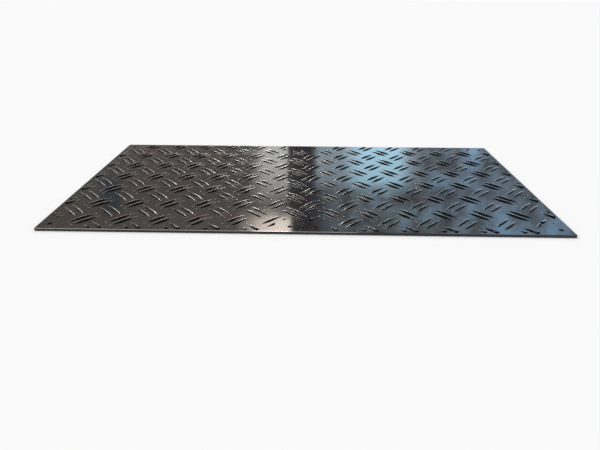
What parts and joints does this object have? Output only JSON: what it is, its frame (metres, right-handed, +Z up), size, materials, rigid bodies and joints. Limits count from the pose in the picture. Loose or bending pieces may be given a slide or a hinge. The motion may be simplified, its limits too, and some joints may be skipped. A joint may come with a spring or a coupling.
{
  "type": "ground protection mat",
  "caption": "Flat rectangular ground protection board with a raised two-way bar tread, bare margins and through holes for pegs or joiners.",
  "frame": {"origin": "middle of the flat underside", "axes": "+X along the long side, +Y along the short side to the back, +Z up through the tread"},
  "size_m": [2.44, 1.22, 0.0197],
  "materials": {
    "black_polyethylene": "satin moulded polyethylene with scuffs and dust"
  },
  "bodies": {
    "root": {"tracking_mat": "black_polyethylene"}
  },
  "joints": []
}
